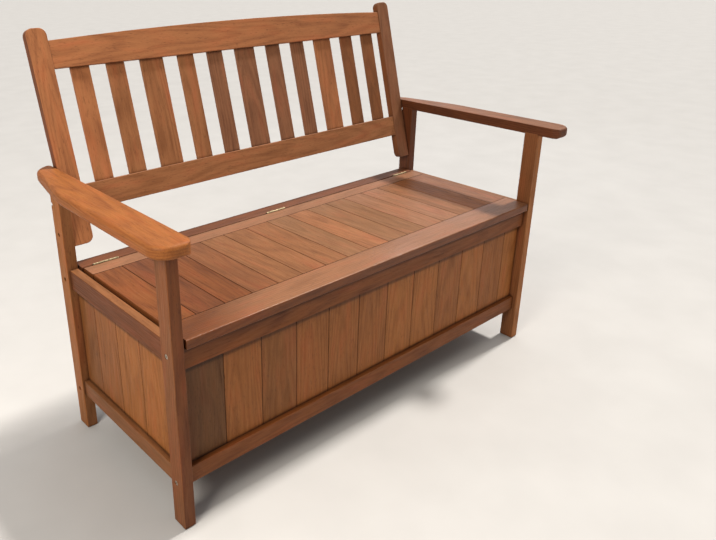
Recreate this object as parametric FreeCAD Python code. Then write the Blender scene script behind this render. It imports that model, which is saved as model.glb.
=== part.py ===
import FreeCAD, Part
import math
import os

# Garden storage bench. Sizes are in millimetres and degrees.
# X runs along the seat, Y from front to rear and Z up. While it is built, Y is 0 at the
# front faces of the front legs. At the end it is moved so that Y is 0 half way.

# The whole bench
frame_length = 1137.0            # over the outer faces of the legs
frame_depth = 458.0              # over the front and rear faces of the legs
armrest_top = 623.0
lid_top = 413.0

# Legs
leg_width = 25.0                 # along the seat
leg_depth = 39.0                 # front to rear
leg_edge_radius = 2.0
foot_chamfer = 2.5
leg_housing = 3.0                # how far the whole leg is let into the armrest
leg_tenon_margin = 7.0           # from the faces of the leg to its tenon
leg_tenon_length = 12.0          # into the armrest, above the top of the leg

# Armrests
armrest_thickness = 25.0
armrest_width = 69.0
armrest_front_overhang = 54.6    # ahead of the front legs
armrest_rear_overhang = 46.0     # behind the rear legs
armrest_front_radius = 36.0      # outer front corner
armrest_rear_radius = 46.0       # outer rear corner
armrest_inner_radius = 18.0      # both inner corners
armrest_bullnose = 8.0           # round along the upper and lower edges at the outside and ends
armrest_inner_edge_radius = 2.0  # the same at the inside
armrest_taper_length = 185.0     # from the rear end to where the outer edge turns in
armrest_taper_angle = 10.5
armrest_taper_blend = 400.0      # radius of the bend at that place

# Rails of the box
rail_thickness = 19.0
rail_edge_radius = 1.5
rail_recess = 12.0               # front and rear rails, behind the faces of the legs
top_rail_height = 45.0
bottom_rail_height = 38.0
front_bottom_rail_foot = 92.5    # height of the underside of the front and rear bottom rails
side_bottom_rail_foot = 90.0
side_rail_drop = 5.0             # top of the side rails, below the lid's top
side_tenon_thickness = 8.0
side_tenon_length = 12.0
side_tenon_shoulder = 8.0        # above and below the tenon

# Tongued planks of the four panels
panel_thickness = 7.5
panel_rebate_height = 10.0       # how far planks reach into the rails
panel_pitch = 92.6               # front and rear
panel_first_width = 97.4
side_panel_pitch = 94.4
side_panel_first_width = 22.2
plank_bevel = 1.0                # along the visible edges of each plank
plank_gap = 0.4                  # between neighbours, and at the ends in the panels
tongue_reach = 4.0
tongue_play = 0.2                # round the tongue in its groove

# Floor of the box
floor_thickness = 10.0
floor_plank_count = 12
floor_plank_gap = 4.0
floor_edge_gap = 0.5             # between the floor and the walls
floor_cleat_width = 20.0
floor_cleat_height = 20.0
floor_cleat_end_gap = 12.0
floor_cleat_lift = 1.0           # above the underside of the bottom rail

# Ledges that carry the ends of the lid
ledge_width = 18.0
ledge_height = 18.0
ledge_front_gap = 4.0            # behind the front legs
ledge_rear_gap = 12.0            # ahead of the rear legs

# Lid
lid_thickness = 20.0
lid_front_setback = 0.5          # behind the faces of the front legs
lid_end_gap = 5.5                # to the legs and side rails
lid_seat_gap = 0.3               # between the lid and the rails that it rests on
lid_front_rail_width = 69.2
lid_back_rail_width = 44.0
lid_edge_radius = 2.5
lid_plank_thickness = 12.0
lid_plank_count = 16
lid_rebate_width = 10.0          # of the lid's rails, under the ends of the planks
lid_long_joint = 1.2             # between those ends and the rails
batten_width = 40.0
batten_thickness = 18.0
batten_inset = 45.0              # from the rebates to the battens
batten_end_inset = 30.0

# Rail behind the lid
hinge_rail_depth = 40.0
hinge_rail_end_gap = 3.5
hinge_rail_tongue_width = 6.0
hinge_rail_tongue_depth = 8.0
hinge_rail_tongue_inset = 60.0   # from the ends of the hinge rail, clear of the bolts

# Hinges
hinge_inset = 53.0               # from the ends of the lid to the middles of the outer hinges
hinge_length = 59.0
hinge_gap = 3.0                  # between the lid and the hinge rail
hinge_leaf_thickness = 1.2
hinge_leaf_height = 13.6
hinge_knuckles = 5
knuckle_radius = 3.0
knuckle_play = 0.3               # endwise, and from the knuckles to the wood
hinge_pin_radius = 1.5
hinge_pin_clearance = 0.05
hinge_pin_head_radius = 2.6
hinge_pin_head_thickness = 0.8
hinge_screw_pitch = 19.0
hinge_screw_drop = 10.0          # below the pin

# Sloping back
back_rake = 15.06
back_foot_height = 459.0         # front lower edge of the stiles
back_foot_setback = 1.2          # behind the front faces of the rear legs
stile_length = 456.5
stile_width = 45.0
stile_thickness = 19.0
stile_corner_radius = 16.0       # both upper corners, and the lower corner towards the slats
stile_edge_radius = 2.0
back_rail_thickness = 16.0
back_rail_edge_radius = 1.5
lower_rail_foot = 69.4           # along the stiles, from their lower ends
lower_rail_height = 55.6
top_rail_foot = 371.7
back_top_rail_height = 58.0      # at its ends
back_top_rail_rise = 11.4        # at its middle
back_tenon_thickness = 8.0
back_tenon_length = 20.0
back_tenon_shoulder = 12.0
slat_width = 43.3
wide_slat_width = 59.0
slat_count = 11
wide_slat_count = 3              # spread evenly among the slats
slat_end_gaps = (38.0, 30.0)     # beside the left and right stiles, the other gaps being alike
slat_thickness = 7.0
slat_setback = 8.5               # behind the faces of the back's rails
slat_tenon = 12.0
slat_edge_radius = 1.0

# Bolts through the legs into the rails, with barrel nuts
bolt_radius = 3.0
bolt_head_radius = 5.0
bolt_head_height = 5.0
bolt_socket_width = 5.0
bolt_socket_depth = 3.0
bolt_play = 0.2                  # round the shank and the head
bolt_reach = 42.0                # into the rail
bolt_edge_distance = 10.0        # from the outer edge of the rail
front_bolt_depth = 0.8           # of the heads, below the faces of the front legs
rear_bolt_depth = 6.0
nut_radius = 5.0
nut_length = 13.0
nut_distance = 34.0              # from the end of the rail

# Screws: radius of the shank, radius and height of the head, length
stile_screw = (2.5, 4.5, 3.0, 43.0)
stile_screw_depth = 5.0
stile_screw_places = (31.5, 98.0)
hinge_screw = (1.1, 2.2, 1.1, 14.0)
batten_screw = (1.6, 3.5, 2.2, 26.0)
cleat_screw = (1.8, 3.6, 2.2, 33.0)
floor_screw = (1.6, 3.5, 2.2, 24.0)
cleat_screw_count = 3            # in each cleat of the floor, between the planks
ledge_screw_inset = 50.0

# Places that follow from the sizes
leg_inner = frame_length / 2 - leg_width
armrest_underside = armrest_top - armrest_thickness
leg_top = armrest_underside + leg_housing
rear_leg_front = frame_depth - leg_depth
rear_rail_face = frame_depth - rail_recess
lid_underside = lid_top - lid_thickness
front_top_rail_foot = lid_underside - lid_seat_gap - top_rail_height
rear_top_rail_foot = lid_underside - top_rail_height
side_top_rail_foot = lid_top - side_rail_drop - top_rail_height
hinge_rail_front = rear_rail_face - hinge_rail_depth
hinge_axis_y = hinge_rail_front - hinge_gap / 2
lid_rear = hinge_rail_front - hinge_gap
lid_half = leg_inner - lid_end_gap
lid_plank_pitch = 2 * lid_half / lid_plank_count
lid_planks_front = lid_front_setback + lid_front_rail_width
lid_planks_rear = lid_rear - lid_back_rail_width
floor_underside = front_bottom_rail_foot + floor_cleat_lift + floor_cleat_height
floor_front = rail_recess + rail_thickness
floor_rear = rear_rail_face - rail_thickness
floor_half = leg_inner - floor_edge_gap
floor_pitch = (2 * floor_half + floor_plank_gap) / floor_plank_count
floor_plank_width = floor_pitch - floor_plank_gap
back_half = leg_inner - stile_width
back_rail_setback = (stile_thickness - back_rail_thickness) / 2
slat_front = back_rail_setback + slat_setback

origin = FreeCAD.Vector(0, 0, 0)
x_axis = FreeCAD.Vector(1, 0, 0)
y_axis = FreeCAD.Vector(0, 1, 0)
z_axis = FreeCAD.Vector(0, 0, 1)

parallel_angle = 2.5             # most between an edge and the axis that it runs along
same_place = 0.001


# Shapes in general

def block(low, high):
    size = [high[i] - low[i] for i in range(3)]
    return Part.makeBox(size[0], size[1], size[2], FreeCAD.Vector(*low))


def rod(radius, length, start, direction):
    return Part.makeCylinder(radius, length, FreeCAD.Vector(*start), direction)


def edges_along(shape, axis):
    def alongside(edge):
        cosine = abs(edge.tangentAt(edge.FirstParameter).dot(axis))
        return cosine > math.cos(math.radians(parallel_angle))
    return [edge for edge in shape.Edges if len(edge.Vertexes) == 2 and alongside(edge)]


# A box-shaped board with its long edges rounded.
def board(low, high, axis, radius):
    shape = block(low, high)
    return shape.makeFillet(radius, edges_along(shape, axis))


# Rounds the edge along an axis that passes through a point.
def corner_rounded(shape, axis, point, radius):
    corner = FreeCAD.Vector(*point)
    edges = edges_along(shape, axis)
    nearest = min(edges, key=lambda edge: (edge.CenterOfMass - corner).cross(axis).Length)
    return shape.makeFillet(radius, [nearest])


# Rounds every edge that lies in a plane square to an axis.
def rims_rounded(shape, axis, radius):
    def level(edge):
        points = [edge.valueAt(edge.FirstParameter), edge.CenterOfMass, edge.valueAt(edge.LastParameter)]
        heights = [point.dot(axis) for point in points]
        return max(heights) - min(heights) < same_place
    return shape.makeFillet(radius, [edge for edge in shape.Edges if level(edge)])


def cut_by(shape, tools):
    return shape.cut(Part.makeCompound(tools)).Solids[0] if tools else shape


def joined(shape, additions):
    return shape.fuse(additions).removeSplitter().Solids[0]


def mirrored(shape):
    return shape.mirror(origin, x_axis)


def both_sides(shapes):
    return shapes + [mirrored(shape) for shape in shapes]


# Turns a shape that points along Z to point in a direction, and puts it at a place.
def aimed(shape, place, direction):
    turned = shape.copy()
    turned.Placement = FreeCAD.Placement(FreeCAD.Vector(*place), FreeCAD.Rotation(z_axis, direction))
    return turned


# Fasteners

# A countersunk screw whose head is flush at the place where it enters.
def screw(sizes, place, direction):
    radius, head_radius, head_height, length = sizes
    head = Part.makeCone(head_radius, radius, head_height)
    tip_height = 2 * radius
    shank = rod(radius, length - head_height - tip_height, (0, 0, head_height), z_axis)
    tip = Part.makeCone(radius, radius / 4, tip_height, FreeCAD.Vector(0, 0, length - tip_height))
    return aimed(joined(head, [shank, tip]), place, direction)


# A socket-headed bolt whose head starts at the place and whose shank runs in the direction.
def bolt(length, place, direction):
    head = rod(bolt_head_radius, bolt_head_height, (0, 0, 0), z_axis)
    shank = rod(bolt_radius, length, (0, 0, bolt_head_height), z_axis)
    corner_radius = bolt_socket_width / 2 / math.cos(math.pi / 6)
    corners = [FreeCAD.Vector(corner_radius * math.cos(turn * math.pi / 3),
                              corner_radius * math.sin(turn * math.pi / 3), 0) for turn in range(7)]
    socket = Part.Face(Part.makePolygon(corners)).extrude(FreeCAD.Vector(0, 0, bolt_socket_depth))
    return aimed(cut_by(joined(head, [shank]), [socket]), place, direction)


# The hole for such a bolt, open to the outside over the head.
def bolt_hole(length, depth, place, direction):
    overshoot = 2 * depth
    recess = rod(bolt_head_radius + bolt_play, bolt_head_height + overshoot, (0, 0, -overshoot), z_axis)
    shank = rod(bolt_radius + bolt_play, length + bolt_play, (0, 0, bolt_head_height), z_axis)
    return aimed(joined(recess, [shank]), place, direction)


# Heights of the bolts, with the faces that the barrel nuts enter, on the right-hand side.
def rail_bolt_places():
    top_rail = front_top_rail_foot + top_rail_height - bolt_edge_distance
    bottom_rail = front_bottom_rail_foot + bolt_edge_distance
    front_y = rail_recess + rail_thickness / 2
    rear_y = rear_rail_face - rail_thickness / 2
    heights = (top_rail, bottom_rail)
    front_row = [(front_y, height, front_bolt_depth, floor_front, -y_axis) for height in heights]
    rear_row = [(rear_y, height, rear_bolt_depth, floor_rear, y_axis) for height in heights]
    return front_row + rear_row


def rail_bolt_length(depth):
    return leg_width - depth - bolt_head_height + bolt_reach


def rail_bolts():
    pieces = []
    for y, height, depth, inner_face, inward in rail_bolt_places():
        start = (leg_inner + leg_width - depth, y, height)
        shank = bolt(rail_bolt_length(depth), start, -x_axis)
        nut = rod(nut_radius, nut_length, (leg_inner - nut_distance, inner_face, height), inward)
        pieces += [shank, cut_by(nut, [shank])]
    return both_sides(pieces)


def rail_bolt_holes():
    holes = []
    for y, height, depth, inner_face, inward in rail_bolt_places():
        start = (leg_inner + leg_width - depth, y, height)
        holes.append(bolt_hole(rail_bolt_length(depth), depth, start, -x_axis))
        holes.append(rod(nut_radius, nut_length, (leg_inner - nut_distance, inner_face, height), inward))
    return both_sides(holes)


# Screws through the rear legs into the stiles of the back, and the holes over their heads.
def stile_screw_starts():
    places = [raked_point(distance, stile_thickness / 2) for distance in stile_screw_places]
    return [(leg_inner + leg_width - stile_screw_depth, place.y, place.z) for place in places]


def stile_screws():
    return both_sides([screw(stile_screw, start, -x_axis) for start in stile_screw_starts()])


def stile_screw_recesses():
    head_radius = stile_screw[1]
    length = 2 * stile_screw_depth
    return both_sides([rod(head_radius, length, start, x_axis) for start in stile_screw_starts()])


def hinge_screws(side, direction):
    face_y = hinge_axis_y + side * (hinge_gap / 2 - hinge_leaf_thickness)
    height = lid_top - hinge_screw_drop
    offsets = (-hinge_screw_pitch, 0, hinge_screw_pitch)
    columns = [centre + offset for centre in hinge_centres() for offset in offsets]
    return [screw(hinge_screw, (x, face_y, height), direction) for x in columns]


# One screw for each plank in each batten, though no nearer than half its width to its end.
def batten_screws():
    edges = plank_edges(2 * lid_half, lid_plank_pitch, lid_plank_pitch)
    limit = lid_half - batten_end_inset - batten_width / 2
    columns = [max(-limit, min(limit, (left + right) / 2 - lid_half)) for left, right in edges]
    height = lid_top - lid_plank_thickness - batten_thickness
    rows = [front + batten_width / 2 for front in batten_fronts()]
    return [screw(batten_screw, (x, y, height), z_axis) for y in rows for x in columns]


def cleat_screws():
    height = front_bottom_rail_foot + floor_cleat_lift + floor_cleat_height / 2
    share = floor_plank_count / cleat_screw_count
    joints = [round((number + 0.5) * share) for number in range(cleat_screw_count)]
    columns = [joint * floor_pitch - floor_plank_gap / 2 - floor_half for joint in joints]
    front_row = [screw(cleat_screw, (x, floor_front + floor_cleat_width, height), -y_axis) for x in columns]
    rear_row = [screw(cleat_screw, (x, floor_rear - floor_cleat_width, height), y_axis) for x in columns]
    return front_row + rear_row


def ledge_screws():
    height = lid_underside - lid_seat_gap - ledge_height / 2
    front = leg_depth + ledge_front_gap + ledge_screw_inset
    rear = rear_leg_front - ledge_rear_gap - ledge_screw_inset
    places = [(leg_inner - ledge_width, y, height) for y in (front, (front + rear) / 2, rear)]
    return both_sides([screw(cleat_screw, place, x_axis) for place in places])


def floor_screws():
    height = floor_underside + floor_thickness
    columns = [left + floor_plank_width / 2 for left in floor_plank_lefts()]
    rows = (floor_front + floor_cleat_width / 2, floor_rear - floor_cleat_width / 2)
    return [screw(floor_screw, (x, y, height), -z_axis) for y in rows for x in columns]


# Legs and armrests, on the right-hand side

def leg_tenon(front):
    low = (leg_inner + leg_tenon_margin, front + leg_tenon_margin, leg_top)
    high = (leg_inner + leg_width - leg_tenon_margin, front + leg_depth - leg_tenon_margin,
            leg_top + leg_tenon_length)
    return block(low, high)


def leg_post(front):
    low = (leg_inner, front, 0)
    high = (leg_inner + leg_width, front + leg_depth, leg_top)
    return board(low, high, z_axis, leg_edge_radius)


def leg(front, fasteners):
    post = leg_post(front)
    foot = [edge for edge in post.Edges if edge.BoundBox.ZMax < same_place]
    post = joined(post.makeChamfer(foot_chamfer, foot), [leg_tenon(front)])
    return cut_by(post, side_tenons() + fasteners)


# A level slab with its corners rounded in plan, and then its upper and lower edges.
def armrest_slab(rounded_corners, edge_radius):
    corners = [corner for corner, radius in rounded_corners]
    outline = [FreeCAD.Vector(x, y, armrest_underside) for x, y in corners + corners[:1]]
    shape = Part.Face(Part.makePolygon(outline)).extrude(FreeCAD.Vector(0, 0, armrest_thickness))
    for (x, y), radius in rounded_corners:
        if radius:
            shape = corner_rounded(shape, z_axis, (x, y, 0), radius)
    return rims_rounded(shape, z_axis, edge_radius)


# What two slabs have in common. The first gives the outside and the ends, the second the inside.
def armrest():
    outer = leg_inner + armrest_width
    front = -armrest_front_overhang
    rear = frame_depth + armrest_rear_overhang
    taper = armrest_taper_length * math.tan(math.radians(armrest_taper_angle))
    too_far_in = leg_inner - armrest_width
    too_far_out = outer + armrest_width
    outside = armrest_slab([((too_far_in, front), 0),
                            ((outer, front), armrest_front_radius),
                            ((outer, rear - armrest_taper_length), armrest_taper_blend),
                            ((outer - taper, rear), armrest_rear_radius),
                            ((too_far_in, rear), 0)], armrest_bullnose)
    inside = armrest_slab([((leg_inner, front), armrest_inner_radius),
                           ((too_far_out, front), 0),
                           ((too_far_out, rear), 0),
                           ((leg_inner, rear), armrest_inner_radius)], armrest_inner_edge_radius)
    legs = [leg_post(0), leg_post(rear_leg_front), leg_tenon(0), leg_tenon(rear_leg_front)]
    return cut_by(outside.common(inside), legs)


# Rails of the box

# The front rails have their faces at the front. The rear rails are the same, turned round.
def long_rail(foot, height, rebate_at_top):
    low = (-leg_inner, rail_recess, foot)
    high = (leg_inner, rail_recess + rail_thickness, foot + height)
    shape = board(low, high, x_axis, rail_edge_radius)
    rebate_low = foot + height - panel_rebate_height if rebate_at_top else foot
    rebate = block((-leg_inner, high[1] - panel_thickness, rebate_low),
                   (leg_inner, high[1], rebate_low + panel_rebate_height))
    return cut_by(shape, [rebate])


def front_rail(foot, height, rebate_at_top, fasteners):
    return cut_by(long_rail(foot, height, rebate_at_top), fasteners)


def rear_rail(foot, height, rebate_at_top, fasteners):
    shape = long_rail(foot, height, rebate_at_top)
    shape.rotate(FreeCAD.Vector(0, frame_depth / 2, 0), z_axis, 180)
    return cut_by(shape, fasteners)


def side_tenon(end, reach, foot, height):
    middle = leg_inner + rail_thickness / 2
    low = (middle - side_tenon_thickness / 2, min(end, end + reach), foot + side_tenon_shoulder)
    high = (middle + side_tenon_thickness / 2, max(end, end + reach), foot + height - side_tenon_shoulder)
    return block(low, high)


def rail_tenons(foot, height):
    return [side_tenon(leg_depth, -side_tenon_length, foot, height),
            side_tenon(rear_leg_front, side_tenon_length, foot, height)]


def side_tenons():
    top = rail_tenons(side_top_rail_foot, top_rail_height)
    bottom = rail_tenons(side_bottom_rail_foot, bottom_rail_height)
    return top + bottom


def side_rail(foot, height, rebate_at_top, fasteners):
    low = (leg_inner, leg_depth, foot)
    high = (leg_inner + rail_thickness, rear_leg_front, foot + height)
    shape = board(low, high, y_axis, rail_edge_radius)
    rebate_low = foot + height - panel_rebate_height if rebate_at_top else foot
    rebate = block((leg_inner, leg_depth, rebate_low),
                   (leg_inner + panel_thickness, rear_leg_front, rebate_low + panel_rebate_height))
    return cut_by(joined(cut_by(shape, [rebate]), rail_tenons(foot, height)), fasteners)


# Planks

# Left and right edges of each plank in a row that starts with its own first width. A rest that
# is under half a pitch widens the last plank.
def plank_edges(total, first_width, pitch):
    edges = [0.0, first_width]
    while total - edges[-1] >= 1.5 * pitch:
        edges.append(edges[-1] + pitch)
    edges.append(total)
    return list(zip(edges[:-1], edges[1:]))


# Planks that lie side by side along X, with their lengths along Y and their faces up at Z = 0.
# Each has a tongue in its right edge and a groove in its left edge, but none at the ends of the row.
def plank_row(total, first_width, pitch, length, thickness):
    row = []
    for left, right in plank_edges(total, first_width, pitch):
        start = left + plank_gap / 2
        end = right - plank_gap / 2
        tongue_top = -thickness / 3
        tongue_foot = -2 * thickness / 3
        outline = [(start + plank_bevel, 0), (end - plank_bevel, 0), (end, -plank_bevel)]
        if right < total:
            tip = end + tongue_reach
            outline += [(end, tongue_top), (tip, tongue_top), (tip, tongue_foot), (end, tongue_foot)]
        outline += [(end, -thickness), (start, -thickness)]
        if left > 0:
            groove = start + tongue_reach - plank_gap + tongue_play
            low = tongue_foot - tongue_play
            high = tongue_top + tongue_play
            outline += [(start, low), (groove, low), (groove, high), (start, high)]
        outline += [(start, -plank_bevel)]
        corners = [FreeCAD.Vector(x, 0, z) for x, z in outline + outline[:1]]
        row.append(Part.Face(Part.makePolygon(corners)).extrude(FreeCAD.Vector(0, length, 0)))
    return row


# The upright planks of one panel, with their faces to the front at Y = 0 and X from 0.
def panel(total, first_width, pitch, foot, head):
    planks = plank_row(total, first_width, pitch, head - foot - 2 * plank_gap, panel_thickness)
    for plank in planks:
        plank.rotate(origin, x_axis, 90)
        plank.translate(FreeCAD.Vector(0, 0, foot + plank_gap))
    return planks


def front_panel():
    foot = front_bottom_rail_foot + bottom_rail_height - panel_rebate_height
    head = front_top_rail_foot + panel_rebate_height
    planks = panel(2 * leg_inner, panel_first_width, panel_pitch, foot, head)
    for plank in planks:
        plank.translate(FreeCAD.Vector(-leg_inner, floor_front - panel_thickness, 0))
    return planks


def rear_panel():
    foot = front_bottom_rail_foot + bottom_rail_height - panel_rebate_height
    head = rear_top_rail_foot + panel_rebate_height
    planks = panel(2 * leg_inner, panel_first_width, panel_pitch, foot, head)
    for plank in planks:
        plank.rotate(origin, z_axis, 180)
        plank.translate(FreeCAD.Vector(leg_inner, floor_rear + panel_thickness, 0))
    return planks


def side_panel():
    foot = side_bottom_rail_foot + bottom_rail_height - panel_rebate_height
    head = side_top_rail_foot + panel_rebate_height
    width = rear_leg_front - leg_depth
    planks = panel(width, side_panel_first_width, side_panel_pitch, foot, head)
    for plank in planks:
        plank.rotate(origin, z_axis, 90)
        plank.translate(FreeCAD.Vector(leg_inner + panel_thickness, leg_depth, 0))
    return planks


# Floor and the cleats inside the box

def floor_plank_lefts():
    return [index * floor_pitch - floor_half for index in range(floor_plank_count)]


def floor_planks(fasteners):
    front = floor_front + floor_edge_gap
    rear = floor_rear - floor_edge_gap
    planks = []
    for left in floor_plank_lefts():
        low = (left, front, floor_underside)
        high = (left + floor_plank_width, rear, floor_underside + floor_thickness)
        near = [tool for tool in fasteners if left < tool.CenterOfMass.x < left + floor_pitch]
        planks.append(cut_by(board(low, high, y_axis, plank_bevel), near))
    return planks


def support_cleats(fasteners):
    half = leg_inner - floor_cleat_end_gap
    foot = front_bottom_rail_foot + floor_cleat_lift
    front = board((-half, floor_front, foot), (half, floor_front + floor_cleat_width, floor_underside),
                  x_axis, plank_bevel)
    rear = board((-half, floor_rear - floor_cleat_width, foot), (half, floor_rear, floor_underside),
                 x_axis, plank_bevel)
    ledge_top = lid_underside - lid_seat_gap
    ledge = board((leg_inner - ledge_width, leg_depth + ledge_front_gap, ledge_top - ledge_height),
                  (leg_inner, rear_leg_front - ledge_rear_gap, ledge_top), y_axis, plank_bevel)
    return [cut_by(cleat, fasteners) for cleat in (front, rear, ledge, mirrored(ledge))]


# Lid

# A rail of the lid, with a rebate under the ends of the planks on its side towards them.
def lid_rail(front, rear, rebate_front, rebate_rear, fasteners):
    shape = board((-lid_half, front, lid_underside), (lid_half, rear, lid_top), x_axis, lid_edge_radius)
    rebate = block((-lid_half, rebate_front, lid_top - lid_plank_thickness),
                   (lid_half, rebate_rear, lid_top))
    return cut_by(shape, [rebate] + fasteners)


def lid_front_rail():
    rear = lid_planks_front + lid_rebate_width
    return lid_rail(lid_front_setback, rear, lid_planks_front, rear, [])


def lid_back_rail(fasteners):
    front = lid_planks_rear - lid_rebate_width
    return lid_rail(front, lid_rear, front, lid_planks_rear, fasteners)


def lid_planks(fasteners):
    length = lid_planks_rear - lid_planks_front - 2 * lid_long_joint
    planks = plank_row(2 * lid_half, lid_plank_pitch, lid_plank_pitch, length, lid_plank_thickness)
    for plank in planks:
        plank.translate(FreeCAD.Vector(-lid_half, lid_planks_front + lid_long_joint, lid_top))
    return [cut_by(plank, fasteners) for plank in planks]


def batten_fronts():
    first = lid_planks_front + lid_rebate_width + batten_inset
    last = lid_planks_rear - lid_rebate_width - batten_inset - batten_width
    return (first, last)


def lid_battens(fasteners):
    half = lid_half - batten_end_inset
    top = lid_top - lid_plank_thickness
    battens = []
    for front in batten_fronts():
        low = (-half, front, top - batten_thickness)
        high = (half, front + batten_width, top)
        battens.append(cut_by(board(low, high, x_axis, plank_bevel), fasteners))
    return battens


# Rail behind the lid, with a tongue along its underside

def hinge_rail_tongue():
    half = leg_inner - hinge_rail_end_gap - hinge_rail_tongue_inset
    middle = rear_rail_face - rail_thickness / 2
    return block((-half, middle - hinge_rail_tongue_width / 2, lid_underside - hinge_rail_tongue_depth),
                 (half, middle + hinge_rail_tongue_width / 2, lid_underside))


def hinge_rail(fasteners):
    half = leg_inner - hinge_rail_end_gap
    low = (-half, hinge_rail_front, lid_underside)
    high = (half, rear_rail_face, lid_top)
    shape = board(low, high, x_axis, lid_edge_radius)
    return cut_by(joined(shape, [hinge_rail_tongue()]), fasteners)


# Hinges

def hinge_centres():
    outer = lid_half - hinge_inset
    return (-outer, 0, outer)


def hinge_bed(centre):
    start = (centre - hinge_length / 2 - hinge_pin_head_thickness - knuckle_play, hinge_axis_y, lid_top)
    length = hinge_length + 2 * (hinge_pin_head_thickness + knuckle_play)
    return rod(knuckle_radius + knuckle_play, length, start, x_axis)


# One leaf of a hinge: a plate against the wood and its share of the knuckles.
def hinge_leaf(centre, side, first_knuckle):
    wood_y = hinge_axis_y + side * hinge_gap / 2
    inner_y = wood_y - side * hinge_leaf_thickness
    left = centre - hinge_length / 2
    plate_top = lid_top - knuckle_radius - 2 * knuckle_play
    front = min(wood_y, inner_y)
    rear = max(wood_y, inner_y)
    plate = block((left, front, plate_top - hinge_leaf_height), (left + hinge_length, rear, plate_top))
    strap_top = lid_top - (knuckle_radius + hinge_pin_radius) / 2
    pitch = hinge_length / hinge_knuckles
    knuckles = []
    for index in range(first_knuckle, hinge_knuckles, 2):
        start = left + index * pitch + knuckle_play / 2
        length = pitch - knuckle_play
        knuckles.append(block((start, front, plate_top - knuckle_play), (start + length, rear, strap_top)))
        knuckles.append(rod(knuckle_radius, length, (start, hinge_axis_y, lid_top), x_axis))
    bore = rod(hinge_pin_radius + hinge_pin_clearance, hinge_length, (left, hinge_axis_y, lid_top), x_axis)
    return cut_by(joined(plate, knuckles), [bore])


def hinge_leaves(side, first_knuckle, screws):
    return [cut_by(hinge_leaf(centre, side, first_knuckle), screws) for centre in hinge_centres()]


def hinge_pin(centre):
    left = centre - hinge_length / 2
    pin = rod(hinge_pin_radius, hinge_length, (left, hinge_axis_y, lid_top), x_axis)
    heads = [rod(hinge_pin_head_radius, hinge_pin_head_thickness, (start, hinge_axis_y, lid_top), x_axis)
             for start in (left - hinge_pin_head_thickness, left + hinge_length)]
    return joined(pin, heads)


# Sloping back. Its pieces are made upright, with their faces at Y = 0 and Z from the foot of the
# stiles, and then leaned back.

def raked(shape):
    leaned = shape.copy()
    leaned.rotate(origin, x_axis, -back_rake)
    leaned.translate(FreeCAD.Vector(0, rear_leg_front + back_foot_setback, back_foot_height))
    return leaned


def raked_point(distance, depth):
    lean = FreeCAD.Rotation(x_axis, -back_rake)
    foot = FreeCAD.Vector(0, rear_leg_front + back_foot_setback, back_foot_height)
    return foot + lean.multVec(FreeCAD.Vector(0, depth, distance))


def back_tenon(foot, height):
    front = (stile_thickness - back_tenon_thickness) / 2
    rear = front + back_tenon_thickness
    low = (back_half, front, foot + back_tenon_shoulder)
    high = (back_half + back_tenon_length, rear, foot + height - back_tenon_shoulder)
    return block(low, high)


def back_tenons():
    return [back_tenon(lower_rail_foot, lower_rail_height), back_tenon(top_rail_foot, back_top_rail_height)]


def back_stile():
    shape = block((back_half, 0, 0), (leg_inner, stile_thickness, stile_length))
    for x, z in ((back_half, 0), (back_half, stile_length), (leg_inner, stile_length)):
        shape = corner_rounded(shape, y_axis, (x, 0, z), stile_corner_radius)
    shape = rims_rounded(shape, y_axis, stile_edge_radius)
    return raked(cut_by(shape, back_tenons()))


# Left and right edges of each slat.
def slat_edges():
    step = (slat_count + 1) // (wide_slat_count + 1)
    widths = [slat_width if number % step else wide_slat_width for number in range(1, slat_count + 1)]
    gap = (2 * back_half - sum(widths) - sum(slat_end_gaps)) / (slat_count - 1)
    edges = []
    left = slat_end_gaps[0] - back_half
    for width in widths:
        edges.append((left, left + width))
        left += width + gap
    return edges


def slat(left, right):
    low = (left, slat_front, lower_rail_foot + lower_rail_height - slat_tenon)
    high = (right, slat_front + slat_thickness, top_rail_foot + slat_tenon)
    return board(low, high, z_axis, slat_edge_radius)


def slats():
    return [slat(left, right) for left, right in slat_edges()]


def back_lower_rail():
    low = (-back_half, back_rail_setback, lower_rail_foot)
    high = (back_half, back_rail_setback + back_rail_thickness, lower_rail_foot + lower_rail_height)
    shape = board(low, high, x_axis, back_rail_edge_radius)
    shape = joined(shape, both_sides([back_tenon(lower_rail_foot, lower_rail_height)]))
    return raked(cut_by(shape, slats()))


def back_top_rail():
    front = back_rail_setback
    foot_left = FreeCAD.Vector(-back_half, front, top_rail_foot)
    foot_right = FreeCAD.Vector(back_half, front, top_rail_foot)
    end_height = top_rail_foot + back_top_rail_height
    head_left = FreeCAD.Vector(-back_half, front, end_height)
    head_right = FreeCAD.Vector(back_half, front, end_height)
    crown = FreeCAD.Vector(0, front, end_height + back_top_rail_rise)
    outline = Part.Wire([Part.LineSegment(foot_left, foot_right).toShape(),
                         Part.LineSegment(foot_right, head_right).toShape(),
                         Part.Arc(head_right, crown, head_left).toShape(),
                         Part.LineSegment(head_left, foot_left).toShape()])
    shape = Part.Face(outline).extrude(FreeCAD.Vector(0, back_rail_thickness, 0))
    long_edges = [edge for edge in shape.Edges if edge.BoundBox.XLength > back_half]
    shape = shape.makeFillet(back_rail_edge_radius, long_edges)
    shape = joined(shape, both_sides([back_tenon(top_rail_foot, back_top_rail_height)]))
    return raked(cut_by(shape, slats()))


# All pieces, each under the name of its node

def numbered(name, shapes):
    return {f"{name}_{number:02d}": [shape] for number, shape in enumerate(shapes, 1)}


def left_and_right(name, shapes):
    return {f"{name}_left": [mirrored(shape) for shape in shapes], f"{name}_right": shapes}


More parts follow.
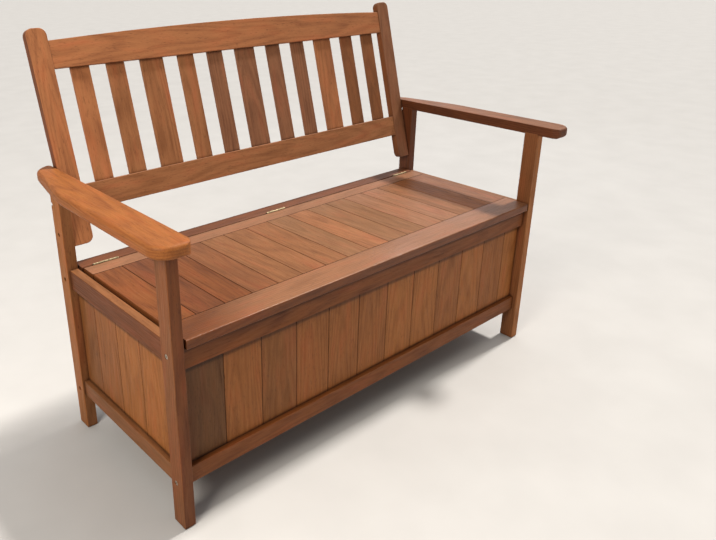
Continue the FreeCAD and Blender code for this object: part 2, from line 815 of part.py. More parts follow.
def wooden_frame():
    bolt_holes = rail_bolt_holes()
    cleats = cleat_screws() + ledge_screws()
    floor = floor_screws()
    stile_holes = stile_screws() + stile_screw_recesses()
    rear_top_holes = bolt_holes + [hinge_rail_tongue()]
    bottom = front_bottom_rail_foot
    side_top = side_rail(side_top_rail_foot, top_rail_height, False, cleats)
    side_bottom = side_rail(side_bottom_rail_foot, bottom_rail_height, True, [])
    nodes = {}
    nodes.update(left_and_right("leg_front", [leg(0, bolt_holes)]))
    nodes.update(left_and_right("leg_rear", [leg(rear_leg_front, bolt_holes + stile_holes)]))
    nodes.update(left_and_right("armrest", [armrest()]))
    nodes["front_top_rail"] = [front_rail(front_top_rail_foot, top_rail_height, False, bolt_holes)]
    nodes["front_bottom_rail"] = [front_rail(bottom, bottom_rail_height, True, bolt_holes + cleats)]
    nodes["rear_top_rail"] = [rear_rail(rear_top_rail_foot, top_rail_height, False, rear_top_holes)]
    nodes["rear_bottom_rail"] = [rear_rail(bottom, bottom_rail_height, True, bolt_holes + cleats)]
    nodes.update(left_and_right("side_top_rail", [side_top]))
    nodes.update(left_and_right("side_bottom_rail", [side_bottom]))
    nodes["front_panel_planks"] = front_panel()
    nodes["rear_panel_planks"] = rear_panel()
    nodes.update(left_and_right("side_panel_planks", side_panel()))
    nodes["floor_planks"] = floor_planks(floor)
    nodes["support_cleats"] = support_cleats(cleats + floor)
    nodes["frame_fasteners"] = rail_bolts() + stile_screws() + cleats + floor + hinge_screws(1, y_axis)
    return nodes


def sloping_back():
    nodes = left_and_right("back_stile", [cut_by(back_stile(), stile_screws())])
    nodes["back_lower_rail"] = [back_lower_rail()]
    nodes["back_top_rail"] = [back_top_rail()]
    nodes.update(numbered("back_slat", [raked(shape) for shape in slats()]))
    return nodes


def hinged_lid():
    hinge_beds = [hinge_bed(centre) for centre in hinge_centres()]
    lid_side = hinge_screws(-1, -y_axis)
    rail_side = hinge_screws(1, y_axis)
    battens = batten_screws()
    nodes = {"lid_front_rail": [lid_front_rail()]}
    nodes["lid_back_rail"] = [lid_back_rail(hinge_beds + lid_side)]
    nodes.update(numbered("lid_plank", lid_planks(battens)))
    nodes["lid_battens"] = lid_battens(battens)
    nodes["lid_screws"] = battens + lid_side
    nodes["hinge_rail"] = [hinge_rail(hinge_beds + rail_side)]
    nodes["hinge_fixed_leaves"] = hinge_leaves(1, 0, rail_side)
    nodes["hinge_moving_leaves"] = hinge_leaves(-1, 1, lid_side)
    nodes["hinge_pins"] = [hinge_pin(centre) for centre in hinge_centres()]
    return nodes


nodes = {**wooden_frame(), **sloping_back(), **hinged_lid()}

# The middle between the front of the armrests and the rearmost point of the back becomes Y = 0.
front_limit = nodes["armrest_right"][0].optimalBoundingBox(False, False).YMin
rear_limit = nodes["back_stile_right"][0].optimalBoundingBox(False, False).YMax
middle_y = (front_limit + rear_limit) / 2

os.makedirs("parts", exist_ok=True)
for name, solids in nodes.items():
    piece = Part.makeCompound(solids) if len(solids) > 1 else solids[0]
    piece.translate(FreeCAD.Vector(0, -middle_y, 0))
    piece.exportStep(f"parts/{name}.step")

print(f"{len(nodes)} nodes, {sum(len(solids) for solids in nodes.values())} solids")
print(f"middle at {middle_y:.3f}, hinge axis at {hinge_axis_y - middle_y:.3f}, {lid_top:.3f}")
print(f"depth {rear_limit - front_limit:.3f}")
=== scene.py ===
import math
import random

import bpy
from mathutils import Euler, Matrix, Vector


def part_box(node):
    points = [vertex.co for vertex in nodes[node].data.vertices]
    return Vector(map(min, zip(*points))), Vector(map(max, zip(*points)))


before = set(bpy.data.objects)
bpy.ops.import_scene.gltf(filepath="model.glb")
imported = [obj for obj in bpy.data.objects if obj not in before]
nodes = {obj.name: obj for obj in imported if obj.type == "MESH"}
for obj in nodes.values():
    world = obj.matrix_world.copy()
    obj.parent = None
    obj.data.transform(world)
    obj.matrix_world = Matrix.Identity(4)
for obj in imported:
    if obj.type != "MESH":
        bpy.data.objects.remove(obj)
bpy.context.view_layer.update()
mmPerMetre = 1000
print("bench loaded:", len(nodes), "pieces")


# Small helpers

def toLinear(hexColour):
    shares = [int(hexColour[i:i + 2], 16) / 255 for i in (1, 3, 5)]
    return [s / 12.92 if s <= 0.04045 else ((s + 0.055) / 1.055) ** 2.4 for s in shares] + [1.0]


# A node among the inputs stands for its first output. A map range starts at 1 and ends at 2, and
# gives 3 and 4 there. A mix takes its colours at 6 and 7 and gives them at 2.
def addNode(tree, kind, settings, inputs):
    node = tree.nodes.new("ShaderNode" + kind)
    for name, value in settings.items():
        setattr(node, name, value)
    for socket, source in inputs.items():
        if isinstance(source, bpy.types.Node):
            source = source.outputs[0]
        if isinstance(source, bpy.types.NodeSocket):
            tree.links.new(source, node.inputs[socket])
        else:
            node.inputs[socket].default_value = source
    return node


def setRamp(node, stops, interpolation="LINEAR"):
    ramp = node.color_ramp
    ramp.interpolation = interpolation
    while len(ramp.elements) > 1:
        ramp.elements.remove(ramp.elements[-1])
    ramp.elements[0].position = stops[0][0]
    ramp.elements[0].color = stops[0][1]
    for place, colour in stops[1:]:
        ramp.elements.new(place).color = colour


def newMaterial(name):
    material = bpy.data.materials.new(name)
    material.use_nodes = True
    material.node_tree.nodes.clear()
    return material, material.node_tree


def dress(nodeName, material):
    piece = nodes[nodeName]
    if not piece.material_slots:
        piece.data.materials.append(None)
    for slot in piece.material_slots:
        slot.material = material


# Oiled meranti: planed and sanded hardwood, dipped in a reddish teak oil. It gives the eye a satin
# skin, soft growth rings, fine dark streaks and short pores, and planks that differ in tone.
meranti = {
    "trunk": [(-22, 22), (18, 110), (0, 4000)],    # mm: where boards are cut, sideways, outwards and up
    "rowsApart": 31.7,                 # keeps the cuts of one row of planks unlike those of the next row
    "wander": (60.0, 380.0, 1.5),      # of the grain: mm across, mm along, detail
    "wanderReach": 14.0,               # mm that it wanders sideways
    "ringWidth": 6.0,                  # mm from one growth zone to the next
    "ringTaper": 0.03,                 # how much a ring widens along the trunk, which makes the arches
    "season": [(0.0, 0.5), (0.45, 0.8), (0.8, 0.05), (1.0, 0.5)],    # place in a ring, paleness there
    "streaks": (2.8, 55.0, 4.0),       # mm across, mm along, detail
    "pores": (1.5, 12.0, 1.0),         # the real ones are 0.3 mm across, too fine to show
    "blotches": (24.0, 120.0, 3.5),
    "ringShare": 0.28,                 # rings, streaks and blotches add up to one shade, dark to pale
    "streakShare": 0.28,
    "blotchShare": 0.58,
    "shadeShift": -0.155,              # brings the middle of that shade to the body colour
    "toneStops": (0.2, 0.48, 0.8),     # the shades of dark streak, body and pale streak
    "faceTurn": (0.6, 0.95),           # cosines to a direction, where the tone that paints light and shade on a face starts and is full
    "blush": "#a8472a",                # the redder heartwood that blotches lean towards
    "blushing": (0.5, 0.8, 0.4),       # the blotches where it starts and where it is full, and its share
    "pore": "#5a3a2a",
    "poreEdge": (0.60, 0.72),          # the noise where a pore starts and where it is full
    "poreDepth": 0.34,                 # how much a pore darkens the wood
    "rays": 4,                         # that feel for edges and joints round each point
    "edgeReach": 0.0022,               # metres from an edge over which its wear and painted highlight, or its dust, reach
    "edgeTurn": (0.99, 0.8),           # cosines to the rounded normal, where that starts and is full
    "wornAndLitEdge": (0.2, "SCREEN", "#7d5a44"),        # a free edge, paler: rubbed by handling, and a painted highlight where it catches the light
    "dustyEdge": (0.9, "MULTIPLY", "#4e382e"),     # an edge in a joint, darkened by dust
    "jointReach": 0.008,               # metres that the painted shade in joints and corners reaches
    "jointShading": (0.85, 0.4, 0.7),      # the openness where the painted shade starts and where it is full, and its share
    "jointShadeColour": "#4a3024",
    "shelterFade": 0.006,              # metres over which the painted shadow in the strip under an overhang ends
    "shelterShare": 0.6,
    "shelterShadeColour": "#4e382e",
    "roughness": (0.50, 0.68),
    "sheen": (0.3, 0.7),               # the streaks where the wood is roughest and where it is smoothest
    "ior": 1.46,                       # typical of an oil finish
    "specular": 0.25,                  # thin oil over open grain shines half as much as a varnish
    "poreRelief": -0.8,                # pores lie lower, and a pale shade a little higher
    "bumpStrength": 0.7,
    "bumpHeight": 0.00018,             # metres
}

# Dark streak, body and pale streak of each tone that the boards were sorted into
tones = {
    "amber": ("#7f4c2d", "#9e663f", "#b67d54"),
    "chestnut": ("#724526", "#915f3b", "#a7754f"),
    "honey": ("#75401b", "#905626", "#a86b3a"),
    "cocoa": ("#643d27", "#82563a", "#986a4c"),
    "umber": ("#623a1e", "#7e4e2c", "#94633f"),
    "walnut": ("#5a2e11", "#77441e", "#8d5931"),
    "russet": ("#522a12", "#6d3d1d", "#834f30"),
    "bistre": ("#472412", "#60351b", "#744729"),
    "rose": ("#694021", "#845633", "#9a6b46"),
    "salmon": ("#734b30", "#8d6143", "#a37556"),
    "sienna": ("#7c481e", "#985f2e", "#af7543"),
    "olive": ("#6a4527", "#835a39", "#986d4b"),
}

# What a plank of a row keeps of the tone of its row: the darker ones are greyer as well
plankTints = {"fresh": "#ffffff", "even": "#efedf2", "deep": "#dbdeea", "dusky": "#adb6d0"}

rake = 15.06                     # degrees, the lean of the back
grainTurns = {                   # degrees that bring the grain to Z and the wide face to Y
    "upright": (0, 0, 0),
    "uprightSide": (0, 0, -90),
    "frontToRear": (-90, 0, 0),
    "lengthwise": (0, -90, 0),
    "leaning": (rake, 0, 0),
    "leaningLengthwise": (rake, -90, 0),
}


# Where a board was cut from the trunk, in mm, with Z along the grain
def placeInTrunk(tree, spot, nodeName, grain, seed, row):
    turn = Euler([math.radians(angle) for angle in grainTurns[grain]])
    low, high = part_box(nodeName)
    middle = turn.to_matrix() @ ((low + high) / 2 * mmPerMetre)
    if row:
        shift = Vector((-row["firstJoint"], -middle.y, -middle.z))
    else:
        draw = random.Random(seed)
        shift = Vector([draw.uniform(*reach) for reach in meranti["trunk"]]) - middle
    return addNode(tree, "Mapping", {}, {
        "Vector": spot.outputs["Object"], "Location": shift, "Rotation": turn,
        "Scale": (mmPerMetre, mmPerMetre, mmPerMetre)})


# Each plank of a row is cut from a place of its own in the trunk, and has its own tint
def cutPlanks(tree, place, row, seed):
    count, pitch = len(row["tints"]), row["pitch"]
    parts = addNode(tree, "SeparateXYZ", {}, {0: place})
    steps = addNode(tree, "Math", {"operation": "DIVIDE"}, {0: parts, 1: pitch})
    index = addNode(tree, "Math", {"operation": "FLOOR"}, {0: steps})      # the first plank is -1
    within = addNode(tree, "Math", {"operation": "SUBTRACT"}, {0: steps, 1: index})
    across = addNode(tree, "Math", {"operation": "MULTIPLY_ADD"}, {0: within, 1: pitch, 2: -pitch / 2})
    local = addNode(tree, "CombineXYZ", {}, {0: across, 1: parts.outputs[1], 2: parts.outputs[2]})

    number = addNode(tree, "Math", {"operation": "ADD"}, {0: index, 1: meranti["rowsApart"] * seed})
    lot = addNode(tree, "TexWhiteNoise", {"noise_dimensions": "1D"}, {"W": number})
    lowest = [low for low, high in meranti["trunk"]]
    spread = [high - low for low, high in meranti["trunk"]]
    trunk = addNode(tree, "VectorMath", {"operation": "MULTIPLY_ADD"},
                    {0: lot.outputs["Color"], 1: spread, 2: lowest})
    cut = addNode(tree, "VectorMath", {"operation": "ADD"}, {0: local, 1: trunk})

    share = addNode(tree, "Math", {"operation": "MULTIPLY_ADD"}, {0: index, 1: 1 / count, 2: 1.5 / count})
    tint = addNode(tree, "ValToRGB", {}, {0: share})
    setRamp(tint, [(i / count, toLinear(plankTints[t])) for i, t in enumerate(row["tints"])], "CONSTANT")
    return cut, tint


def grainNoise(tree, place, pattern):
    width, length, detail = meranti[pattern]
    scaled = addNode(tree, "VectorMath", {"operation": "MULTIPLY"},
                     {0: place, 1: (1 / width, 1 / width, 1 / length)})
    return addNode(tree, "TexNoise", {}, {"Vector": scaled, "Scale": 1.0, "Detail": detail})


# The grain wanders, and rings, streaks, pores and blotches all follow it
def wanderingGrain(tree, place):
    reach = meranti["wanderReach"]
    wander = grainNoise(tree, place, "wander")
    bend = addNode(tree, "VectorMath", {"operation": "MULTIPLY_ADD"},
                   {0: wander.outputs["Color"], 1: (2 * reach, 2 * reach, 0), 2: (-reach, -reach, 0)})
    return addNode(tree, "VectorMath", {"operation": "ADD"}, {0: place, 1: bend})


# Growth rings are narrow cones about the heart of the trunk
def growthRings(tree, place):
    flat = addNode(tree, "VectorMath", {"operation": "MULTIPLY"}, {0: place, 1: (1, 1, 0)})
    radius = addNode(tree, "VectorMath", {"operation": "LENGTH"}, {0: flat})
    parts = addNode(tree, "SeparateXYZ", {}, {0: place})
    coneRadius = addNode(tree, "Math", {"operation": "MULTIPLY_ADD"},
                         {0: parts.outputs["Z"], 1: meranti["ringTaper"], 2: radius.outputs["Value"]})
    rings = addNode(tree, "Math", {"operation": "DIVIDE"}, {0: coneRadius, 1: meranti["ringWidth"]})
    season = addNode(tree, "Math", {"operation": "FRACT"}, {0: rings})
    paleness = addNode(tree, "ValToRGB", {}, {0: season})
    setRamp(paleness, [(share, (grey, grey, grey, 1)) for share, grey in meranti["season"]], "B_SPLINE")
    return paleness


# Rings, streaks and blotches add up to one shade from dark to pale
def woodShade(tree, rings, streaks, blotches):
    shade = meranti["shadeShift"]
    for part, share in ((rings, "ringShare"), (streaks, "streakShare"), (blotches, "blotchShare")):
        shade = addNode(tree, "Math", {"operation": "MULTIPLY_ADD"},
                        {0: part, 1: meranti[share], 2: shade})
    return shade


def woodColour(tree, tone, shade):
    wood = addNode(tree, "ValToRGB", {}, {0: shade})
    setRamp(wood, list(zip(meranti["toneStops"], [toLinear(colour) for colour in tones[tone]])))
    return wood


# How much of the tone that paints light and shade on a face shows: all of it on faces that look in its
# direction. Along X it fades, each time from a place to a place in metres and from a share to a share.
def shareOfPaintedFaceLight(tree, spot, direction, fades):
    alike = addNode(tree, "VectorMath", {"operation": "DOT_PRODUCT"},
                    {0: spot.outputs["Normal"], 1: direction})
    start, full = meranti["faceTurn"]
    share = addNode(tree, "MapRange", {}, {0: alike.outputs["Value"], 1: start, 2: full})
    sideways = addNode(tree, "SeparateXYZ", {}, {0: spot.outputs["Object"]})
    for start, end, first, last in fades:
        fade = addNode(tree, "MapRange", {"interpolation_type": "SMOOTHSTEP"},
                       {0: sideways, 1: start, 2: end, 3: first, 4: last})
        share = addNode(tree, "Math", {"operation": "MULTIPLY"}, {0: share, 1: fade})
    return share


# Stains of handling and dust, with painted highlights on free edges and painted shade in joints, corners
# and under overhangs, each with its share, blend and colour
def wearAndPaintedShade(tree, spot, flush, shelters):
    # Near an edge the rounded normal turns away from the flat one
    rounded = addNode(tree, "Bevel", {"samples": meranti["rays"]}, {"Radius": meranti["edgeReach"]})
    surface = addNode(tree, "NewGeometry", {}, {})
    alike = addNode(tree, "VectorMath", {"operation": "DOT_PRODUCT"},
                    {0: rounded, 1: surface.outputs["Normal"]})
    edgeShare, blend, tinge = meranti["dustyEdge" if flush else "wornAndLitEdge"]
    start, full = meranti["edgeTurn"]
    # A free edge is paler, as handling wear and a painted highlight; an edge in a joint is darker with
    # dust
    edge = addNode(tree, "MapRange", {}, {0: alike.outputs["Value"], 1: start, 2: full, 4: edgeShare})

    # Painted shade: darker where nearby surfaces hem a point in, in joints and corners
    openness = addNode(tree, "AmbientOcclusion", {"samples": meranti["rays"]},
                       {"Distance": meranti["jointReach"]})
    start, full, jointShadowShare = meranti["jointShading"]
    jointShadow = addNode(tree, "MapRange", {}, {0: openness.outputs["AO"], 1: start, 2: full, 4: jointShadowShare})
    stainsAndPaintedLight = [(edge, blend, toLinear(tinge)), (jointShadow, "MULTIPLY", toLinear(meranti["jointShadeColour"]))]

    # Painted shadow in the strips under overhangs
    level = addNode(tree, "SeparateXYZ", {}, {0: spot.outputs["Object"]})
    for height, depth in shelters:
        apart = addNode(tree, "Math", {"operation": "SUBTRACT"}, {0: level.outputs["Z"], 1: height})
        away = addNode(tree, "Math", {"operation": "ABSOLUTE"}, {0: apart})
        shelterShadow = addNode(tree, "MapRange", {}, {
            0: away, 1: depth, 2: depth + meranti["shelterFade"], 3: meranti["shelterShare"], 4: 0.0})
        stainsAndPaintedLight.append((shelterShadow, "MULTIPLY", toLinear(meranti["shelterShadeColour"])))
    return stainsAndPaintedLight


# face: the tone that paints light and shade on the faces that look one way, that direction and the fades
# along X
# flush: the edges lie in joints with other boards
# gloss: the roughness of a board that is rubbed smoother than the rest
# shelters: height and depth in metres of the strips under overhangs, darkened as painted shadow
# row: a row of planks in one piece
def oiledMeranti(nodeName, tone, grain, seed, face=None, flush=False, gloss=None, shelters=(), row=None):
    material, tree = newMaterial("oiledMeranti_" + nodeName)
    spot = addNode(tree, "TexCoord", {}, {})
    place = placeInTrunk(tree, spot, nodeName, grain, seed, row)
    if row:
        place, tint = cutPlanks(tree, place, row, seed)
    place = wanderingGrain(tree, place)
    streaks, pores, blotches = [grainNoise(tree, place, name) for name in ("streaks", "pores", "blotches")]
    shade = woodShade(tree, growthRings(tree, place), streaks, blotches)

    stainsAndPaintedLight = []
    # Painted sheen, shade and light on the faces that look one way
    if face:
        paintedFaceTone, direction, fades = face
        paintedFaceColour = woodColour(tree, paintedFaceTone, shade)
        stainsAndPaintedLight.append((shareOfPaintedFaceLight(tree, spot, direction, fades), "MIX", paintedFaceColour))
    start, full, share = meranti["blushing"]
    redness = addNode(tree, "MapRange", {}, {0: blotches, 1: start, 2: full, 4: share})
    stainsAndPaintedLight.append((redness, "SOFT_LIGHT", toLinear(meranti["blush"])))
    if row:
        stainsAndPaintedLight.append((1.0, "MULTIPLY", tint))
    start, full = meranti["poreEdge"]
    pore = addNode(tree, "MapRange", {}, {0: pores, 1: start, 2: full})
    darker = addNode(tree, "Math", {"operation": "MULTIPLY"}, {0: pore, 1: meranti["poreDepth"]})
    stainsAndPaintedLight.append((darker, "MULTIPLY", toLinear(meranti["pore"])))

    colour = woodColour(tree, tone, shade)
    for share, blend, layerColour in stainsAndPaintedLight + wearAndPaintedShade(tree, spot, flush, shelters):
        colour = addNode(tree, "Mix", {"data_type": "RGBA", "blend_type": blend},
                         {0: share, 6: colour, 7: layerColour}).outputs[2]

    smooth, rough = gloss or meranti["roughness"]
    roughest, smoothest = meranti["sheen"]
    sheen = addNode(tree, "MapRange", {}, {0: streaks, 1: roughest, 2: smoothest, 3: rough, 4: smooth})
    relief = addNode(tree, "Math", {"operation": "MULTIPLY_ADD"},
                     {0: pore, 1: meranti["poreRelief"], 2: shade})
    bump = addNode(tree, "Bump", {}, {
        "Strength": meranti["bumpStrength"], "Distance": meranti["bumpHeight"], "Height": relief})
    skin = addNode(tree, "BsdfPrincipled", {}, {
        "Base Color": colour, "Roughness": sheen, "IOR": meranti["ior"],
        "Specular IOR Level": meranti["specular"], "Normal": bump})
    addNode(tree, "OutputMaterial", {}, {"Surface": skin})
    return material


# Each board: its tone and the way that its grain runs
boards = {
    "leg_front_left": ("umber", "upright"),
    "leg_front_right": ("umber", "upright"),
    "leg_rear_left": ("sienna", "upright"),
    "leg_rear_right": ("bistre", "upright"),
    "armrest_left": ("honey", "frontToRear"),
    "armrest_right": ("bistre", "frontToRear"),
    "back_stile_left": ("amber", "leaning"),
    "back_stile_right": ("cocoa", "leaning"),
    "back_top_rail": ("amber", "leaningLengthwise"),
    "back_lower_rail": ("chestnut", "leaningLengthwise"),
    "front_top_rail": ("walnut", "lengthwise"),
    "front_bottom_rail": ("walnut", "lengthwise"),
    "rear_top_rail": ("umber", "lengthwise"),
    "rear_bottom_rail": ("walnut", "lengthwise"),
    "side_top_rail_left": ("russet", "frontToRear"),
    "side_top_rail_right": ("russet", "frontToRear"),
    "side_bottom_rail_left": ("rose", "frontToRear"),
    "side_bottom_rail_right": ("walnut", "frontToRear"),
    "hinge_rail": ("russet", "lengthwise"),
    "lid_front_rail": ("russet", "lengthwise"),
    "lid_back_rail": ("walnut", "lengthwise"),
    "support_cleats": ("umber", "lengthwise"),
    "lid_battens": ("umber", "lengthwise"),
}
slatTones = [                    # from left to right, as the lid's are
    "amber", "chestnut", "chestnut", "chestnut", "cocoa", "cocoa", "cocoa", "cocoa", "amber", "umber",
    "umber"]
lidTones = [
    "walnut", "russet", "walnut", "umber", "rose", "rose", "rose", "olive", "chestnut", "olive", "olive",
    "salmon", "salmon", "rose", "honey", "cocoa"]

for number, tone in enumerate(slatTones, 1):
    boards[f"back_slat_{number:02d}"] = (tone, "leaning")
for number, tone in enumerate(lidTones, 1):
    boards[f"lid_plank_{number:02d}"] = (tone, "frontToRear")

# Faces with a tone of their own that paints light and shade: upper faces paler and pinker as a painted
# sheen, except at the ends of the lid's front rail under the armrests; some narrow faces darker as painted
# shade, one paler as painted light
up, left, front = (0, 0, 1), (-1, 0, 0), (0, -1, 0)
paintedArmrestShadow = [(-0.49, -0.33, 0.1, 1.0), (0.33, 0.42, 1.0, 0.8)]      # painted shadow of the armrests, as less painted sheen: X to X, share to share
paintedLightFaces = {
    "lid_front_rail": ("salmon", up, paintedArmrestShadow),
    "lid_back_rail": ("salmon", up, []),
    "armrest_right": ("umber", up, []),
    "side_top_rail_left": ("rose", up, []),
    "side_top_rail_right": ("rose", up, []),
    "back_stile_left": ("russet", left, []),
    "back_stile_right": ("walnut", left, []),
    "leg_front_left": ("russet", front, []),
    "leg_rear_left": ("rose", front, []),
    "leg_front_right": ("sienna", front, []),
}
rubbed = {"lid_front_rail": (0.32, 0.44)}        # those who sit down slide over it
flushBoards = {"hinge_rail", "lid_back_rail", "front_top_rail", "rear_top_rail"}
flushBoards |= {name for name in boards if name.startswith("lid_plank")}

# Strips darkened as painted shade, under overhangs and along the tops of the bottom rails: the piece, the
# rail whose foot or top it meets there, and the depth of the strip in mm
foot, top = 0, 1
meetings = [
    ("front_top_rail", "front_top_rail", top, 8),          # under the lid
    ("front_panel_planks", "front_top_rail", foot, 12),
    ("rear_panel_planks", "rear_top_rail", foot, 12),
    ("side_panel_planks_left", "side_top_rail_left", foot, 16),
    ("side_panel_planks_right", "side_top_rail_right", foot, 16),
    ("front_panel_planks", "front_bottom_rail", top, 1),
    ("rear_panel_planks", "rear_bottom_rail", top, 1),
    ("side_panel_planks_left", "side_bottom_rail_left", top, 1),
    ("side_panel_planks_right", "side_bottom_rail_right", top, 1),
]


def sheltersOf(nodeName):
    return [(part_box(rail)[end].z, depth / mmPerMetre)
            for piece, rail, end, depth in meetings if piece == nodeName]


for seed, (nodeName, (tone, grain)) in enumerate(boards.items(), 1):
    dress(nodeName, oiledMeranti(nodeName, tone, grain, seed, face=paintedLightFaces.get(nodeName),
                                 flush=nodeName in flushBoards, gloss=rubbed.get(nodeName),
                                 shelters=sheltersOf(nodeName)))
print("boards dressed:", len(boards))


# Rows of planks that share a node, with the first joint and the pitch in mm and each plank's tint
plankRows = {
    "front_panel_planks": {
        "tone": "sienna", "grain": "upright", "firstJoint": -446.1, "pitch": 92.6,
        "tints": ["dusky", "even", "deep", "even", "even", "even", "fresh", "fresh", "even", "fresh",
                  "even", "fresh"]},
    "rear_panel_planks": {
        "tone": "rose", "grain": "upright", "firstJoint": -479.9, "pitch": 92.6,
        "tints": ["fresh", "even", "deep", "fresh", "even", "even", "deep", "fresh", "even", "deep",
                  "fresh", "even"]},
    "side_panel_planks_left": {
        "tone": "sienna", "grain": "uprightSide", "firstJoint": -189.855, "pitch": 94.4,
        "tints": ["even", "fresh", "fresh", "even", "deep"]},
    "side_panel_planks_right": {
        "tone": "sienna", "grain": "uprightSide", "firstJoint": -189.855, "pitch": 94.4,
        "tints": ["even", "even", "fresh", "deep", "even"]},
    "floor_planks": {
        "tone": "umber", "grain": "frontToRear", "firstJoint": -454.17, "pitch": 90.83,
        "tints": ["even", "fresh", "even", "deep", "fresh", "even", "fresh", "deep", "even", "fresh",
                  "deep", "even"]},
}
firstRowSeed = 101               # past the seeds of the single boards

for seed, (nodeName, row) in enumerate(plankRows.items(), firstRowSeed):
    dress(nodeName, oiledMeranti(nodeName, row["tone"], row["grain"], seed, flush=True,
                                 shelters=sheltersOf(nodeName), row=row))
print("rows of planks dressed:", len(plankRows))


# Brass hinges and zinc-plated steel fasteners. Stamped, rolled or turned metal that handling and
# weather have dulled in patches: a pale shine with darker, rougher spots.
metals = {
    "stampedBrass": {
        "nodes": ["hinge_fixed_leaves", "hinge_moving_leaves", "hinge_pins"],
        "clean": "#9a8c70", "dull": "#64573f", "roughness": (0.5, 0.66),
        "spots": 4.0},           # mm across
    "zincPlatedSteel": {
        "nodes": ["frame_fasteners", "lid_screws"],
        "clean": "#d6cfc2", "dull": "#9c9488", "roughness": (0.42, 0.6),
        "spots": 2.5},
}
dulling = {
    "detail": 4.0,
    "spotEdge": (0.42, 0.66),    # the noise where a spot starts and where it is full
    "bumpStrength": 0.4,
    "bumpHeight": 0.0001,        # metres
}


def dulledMetal(name, metal):
    material, tree = newMaterial(name)
    spot = addNode(tree, "TexCoord", {}, {})
    patches = addNode(tree, "TexNoise", {}, {
        "Vector": spot.outputs["Object"], "Scale": mmPerMetre / metal["spots"],
        "Detail": dulling["detail"]})
    start, full = dulling["spotEdge"]
    dulled = addNode(tree, "MapRange", {}, {0: patches, 1: start, 2: full})
    colour = addNode(tree, "Mix", {"data_type": "RGBA"}, {
        0: dulled, 6: toLinear(metal["clean"]), 7: toLinear(metal["dull"])})
    smooth, rough = metal["roughness"]
    gloss = addNode(tree, "MapRange", {}, {0: dulled, 3: smooth, 4: rough})
    bump = addNode(tree, "Bump", {}, {
        "Strength": dulling["bumpStrength"], "Distance": dulling["bumpHeight"], "Height": patches})
    skin = addNode(tree, "BsdfPrincipled", {}, {
        "Base Color": colour.outputs[2], "Metallic": 1.0, "Roughness": gloss, "Normal": bump})
    addNode(tree, "OutputMaterial", {}, {"Surface": skin})
    return material


for name, metal in metals.items():
    material = dulledMetal(name, metal)
    for nodeName in metal["nodes"]:
        dress(nodeName, material)
print("metal dressed")


# Studio: a pale floor, a dim room with a lit backdrop, and soft lights
studio = {
    "floorRadius": 30.0, "floorSides": 96,
    "floorColours": ("#b4b3b1", "#b9b8b6"), "floorStops": (0.3, 0.7),
    "mottlesPerMetre": 6.0, "mottleDetail": 3.0, "floorRoughness": 0.9,
    "roomColour": "#ffffff", "roomStrength": 0.19,
    "backdropSide": (0.5, 0.75, 0.3), "backdropFade": (0.1, 0.8), "backdropStrength": 0.55,
    "keyLight": {"from": (0.58, 0.0, 0.81), "strength": 4.1, "softness": 6, "colour": "#fff8f0"},
    "ceilingLight": {"from": (0.0, 0.0, 1.0), "strength": 0.35, "softness": 90, "colour": "#ffffff"},
    "sideLight": {"place": (-2.0, -0.7, 1.75), "aim": (0.0, 0.0, 0.45), "width": 0.8, "power": 43.0,
                  "colour": "#fff6ea"},
    "lowFill": {"place": (1.3, -1.9, 0.35), "aim": (0.3, -0.3, 0.2), "width": 0.8, "power": 7.0,
                "colour": "#fff2e2"},
    "farWindow": {"place": (2.32, 1.48, 1.54), "aim": (0.12, -0.22, 0.41), "width": 0.5, "power": 3.6,
                  "colour": "#f4f6ff"},
}

radius, sides = studio["floorRadius"], studio["floorSides"]
turns = [math.tau * i / sides for i in range(sides)]
floorMesh = bpy.data.meshes.new("paleFloor")
floorMesh.from_pydata([(radius * math.cos(turn), radius * math.sin(turn), 0) for turn in turns], [],
                      [list(range(sides))])
floor = bpy.data.objects.new("paleFloor", floorMesh)
bpy.context.scene.collection.objects.link(floor)
floorPaint, tree = newMaterial("mattPaintedFloor")      # an even pale matt paint with a faint mottle
spot = addNode(tree, "TexCoord", {}, {})
mottle = addNode(tree, "TexNoise", {}, {
    "Vector": spot.outputs["Object"], "Scale": studio["mottlesPerMetre"],
    "Detail": studio["mottleDetail"]})
paint = addNode(tree, "ValToRGB", {}, {0: mottle})
setRamp(paint, list(zip(studio["floorStops"], [toLinear(colour) for colour in studio["floorColours"]])))
skin = addNode(tree, "BsdfPrincipled", {}, {"Base Color": paint, "Roughness": studio["floorRoughness"]})
addNode(tree, "OutputMaterial", {}, {"Surface": skin})
floorMesh.materials.append(floorPaint)

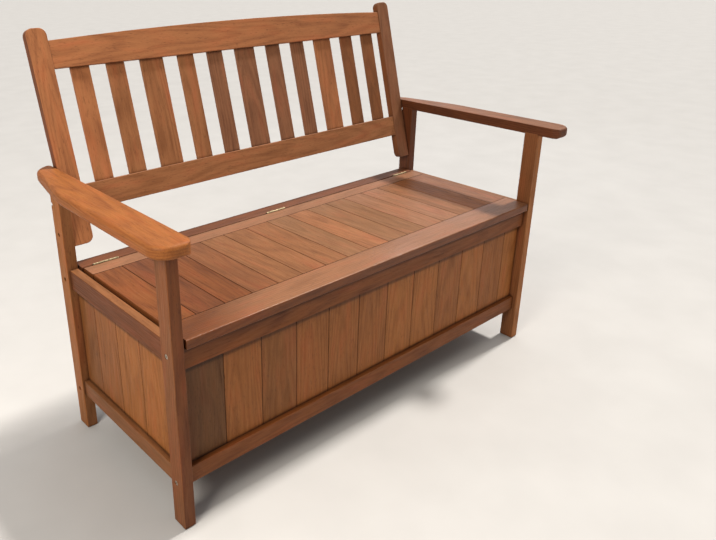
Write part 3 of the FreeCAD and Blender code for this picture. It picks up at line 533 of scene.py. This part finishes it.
world = bpy.data.worlds.new("paleRoom")
world.use_nodes = True
tree = world.node_tree
tree.nodes.clear()
direction = addNode(tree, "TexCoord", {}, {})
facing = addNode(tree, "VectorMath", {"operation": "DOT_PRODUCT"}, {
    0: direction.outputs["Generated"], 1: Vector(studio["backdropSide"]).normalized()})
dim = studio["roomStrength"]
start, full = studio["backdropFade"]
brightness = addNode(tree, "MapRange", {"interpolation_type": "SMOOTHSTEP"}, {
    0: facing.outputs["Value"], 1: start, 2: full, 3: dim, 4: dim + studio["backdropStrength"]})
room = addNode(tree, "Background", {}, {
    "Color": toLinear(studio["roomColour"]), "Strength": brightness})
addNode(tree, "OutputWorld", {}, {"Surface": room})
bpy.context.scene.world = world


def placeLight(name, light, source, colour):
    light.color = toLinear(colour)[:3]
    lamp = bpy.data.objects.new(name, light)
    lamp.rotation_euler = Vector(source).to_track_quat("Z", "Y").to_euler()
    bpy.context.scene.collection.objects.link(lamp)
    return lamp


for name in ("keyLight", "ceilingLight"):
    choice = studio[name]
    sun = bpy.data.lights.new(name, "SUN")
    sun.energy = choice["strength"]
    sun.angle = math.radians(choice["softness"])
    placeLight(name, sun, choice["from"], choice["colour"])

for name in ("sideLight", "lowFill", "farWindow"):
    choice = studio[name]
    softbox = bpy.data.lights.new(name, "AREA")
    softbox.energy = choice["power"]
    softbox.size = choice["width"]
    place = Vector(choice["place"])
    placeLight(name, softbox, place - Vector(choice["aim"]), choice["colour"]).location = place

view = bpy.context.scene.view_settings
view.view_transform = "Standard"
view.look = "None"
print("studio lit")


# Camera, at the height and distance that the photograph's perspective gives
camera = {
    "place": (-1.1003, -1.1857, 1.0518),         # metres
    "heading": 40.57,            # degrees from +Y towards +X
    "pitch": -22.21,
    "roll": -0.22,
    "lens": 35.54,               # mm
    "pictureWidth": 36.0,        # mm
    "shift": (0.0959, -0.0489),  # shares of the picture's width
}
lens = bpy.data.cameras.new("camera")
lens.sensor_width = camera["pictureWidth"]
lens.lens = camera["lens"]
lens.shift_x, lens.shift_y = camera["shift"]
viewer = bpy.data.objects.new("camera", lens)
viewer.location = camera["place"]
heading, pitch, roll = [math.radians(camera[angle]) for angle in ("heading", "pitch", "roll")]
level = Euler((0, 0, -heading)).to_matrix() @ Euler((math.pi / 2 + pitch, 0, 0)).to_matrix()
viewer.rotation_euler = (level @ Euler((0, 0, roll)).to_matrix()).to_euler()
bpy.context.scene.collection.objects.link(viewer)
bpy.context.scene.camera = viewer
print("camera set")

bpy.context.view_layer.update()
